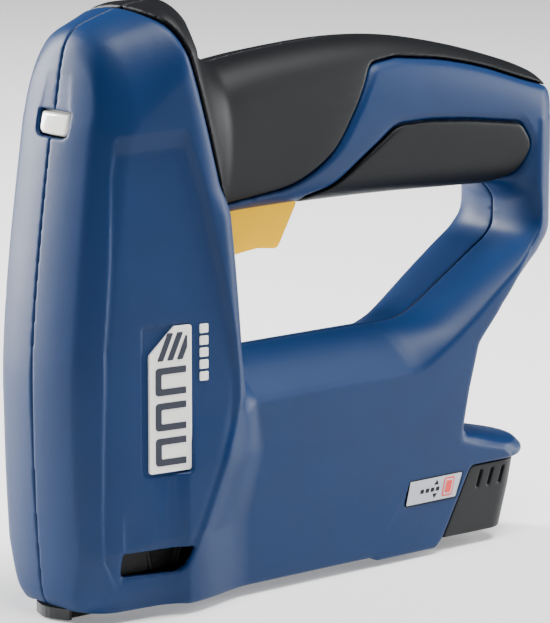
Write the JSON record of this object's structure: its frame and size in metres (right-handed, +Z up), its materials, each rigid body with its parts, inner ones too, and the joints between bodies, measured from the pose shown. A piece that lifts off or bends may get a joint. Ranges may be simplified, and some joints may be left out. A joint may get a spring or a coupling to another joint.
{
  "type": "electric stapler",
  "caption": "Battery staple gun with a closed handle, soft grips, a pull-up trigger, a slide-out magazine and a geared striker inside.",
  "frame": {"origin": "bottom centre of the whole tool, under the middle of its length", "axes": "+X runs back along the tool from the nose, +Y points to the side with the screw heads, +Z is up; the two moulded halves meet on the XZ plane"},
  "size_m": [0.2053, 0.062, 0.1821],
  "materials": {
    "housing_plastic": "fine-grained satin",
    "grip_rubber": "soft-touch satin",
    "trigger_plastic": "smooth",
    "badge_plastic": "smooth",
    "label_film": "smooth",
    "black_plastic": "satin",
    "lens_plastic": "polished",
    "steel": "machined",
    "gear_plastic": "moulded",
    "circuit_board": "coated",
    "cell_wrap": "smooth"
  },
  "bodies": {
    "case": {"housing_left": "housing_plastic", "housing_right": "housing_plastic", "grip_front_left": "grip_rubber", "grip_front_right": "grip_rubber", "grip_rear_left": "grip_rubber", "grip_rear_right": "grip_rubber", "badge_left": "badge_plastic", "badge_right": "badge_plastic", "label_left": "label_film", "label_right": "label_film", "slot_backing_left": "black_plastic", "slot_backing_right": "black_plastic", "housing_screw_1": "steel", "housing_screw_2": "steel", "housing_screw_3": "steel", "housing_screw_4": "steel", "housing_screw_5": "steel", "housing_screw_6": "steel", "drive_frame_left": "steel", "drive_frame_right": "steel", "second_axle": "steel", "first_axle": "steel", "motor_can": "steel", "motor_end_cap": "black_plastic", "main_spring": "steel", "spring_seat": "gear_plastic", "nose_plate": "steel", "nose_block": "black_plastic", "magazine_channel": "steel", "trigger_spring": "steel", "microswitch": "black_plastic", "battery_cell_lower": "cell_wrap", "battery_cell_upper": "cell_wrap", "control_board": "circuit_board", "charging_socket": "black_plastic", "indicator_lens": "lens_plastic", "indicator_board": "circuit_board"},
    "trigger": {"trigger": "trigger_plastic"},
    "switch_button": {"switch_plunger": "black_plastic"},
    "magazine": {"magazine_rail": "steel", "magazine_cap": "black_plastic", "pusher_spring": "steel"},
    "pusher": {"staple_pusher": "black_plastic"},
    "cam": {"cam_gear": "gear_plastic", "snail_cam": "steel", "cam_shaft": "steel"},
    "second_wheel": {"second_gear": "gear_plastic"},
    "first_wheel": {"first_gear": "gear_plastic"},
    "motor_rotor": {"motor_pinion": "steel"},
    "striker": {"hammer": "steel", "driver_blade": "steel", "cam_follower": "steel"}
  },
  "joints": [
    {"name": "trigger_pull", "type": "slide", "parent": "case", "child": "trigger", "axis": [0, 0, 1], "range_m": [0, 0.005], "stiffness_N_per_m": 700, "springref_m": -0.002, "deforming": ["trigger_spring"]},
    {"name": "switch_press", "type": "slide", "parent": "case", "child": "switch_button", "axis": [0, 0, 1], "range_m": [0, 0.0016]},
    {"name": "magazine_slide", "type": "slide", "parent": "case", "child": "magazine", "axis": [1, 0, 0], "range_m": [0, 0.1]},
    {"name": "pusher_slide", "type": "slide", "parent": "magazine", "child": "pusher", "axis": [1, 0, 0], "range_m": [0, 0.09], "stiffness_N_per_m": 25, "springref_m": -0.03, "deforming": ["pusher_spring"]},
    {"name": "cam_turn", "type": "hinge", "parent": "case", "child": "cam", "pos_m": [-0.074, 0, 0.045], "axis": [0, 1, 0], "range_deg": [0, 300]},
    {"name": "second_wheel_turn", "type": "hinge", "parent": "case", "child": "second_wheel", "pos_m": [-0.0579, 0, 0.06415], "axis": [0, 1, 0], "range_deg": [-1205, 0]},
    {"name": "first_wheel_turn", "type": "hinge", "parent": "case", "child": "first_wheel", "pos_m": [-0.06656, 0, 0.08129], "axis": [0, 1, 0], "range_deg": [0, 3615]},
    {"name": "motor_turn", "type": "hinge", "parent": "case", "child": "motor_rotor", "pos_m": [-0.0595, 0, 0.1], "axis": [0, 1, 0], "range_deg": [-14460, 0]},
    {"name": "striker_lift", "type": "slide", "parent": "case", "child": "striker", "axis": [0, 0, 1], "range_m": [0, 0.01405], "deforming": ["main_spring"]}
  ],
  "couplings": [
    {"joint": "switch_press", "follows": "trigger_pull", "ratio": 0.3},
    {"joint": "second_wheel_turn", "follows": "cam_turn", "ratio": -4},
    {"joint": "first_wheel_turn", "follows": "cam_turn", "ratio": 12},
    {"joint": "motor_turn", "follows": "cam_turn", "ratio": -48},
    {"joint": "striker_lift", "follows": "cam_turn", "m_per_rad": 0.0026738}
  ]
}
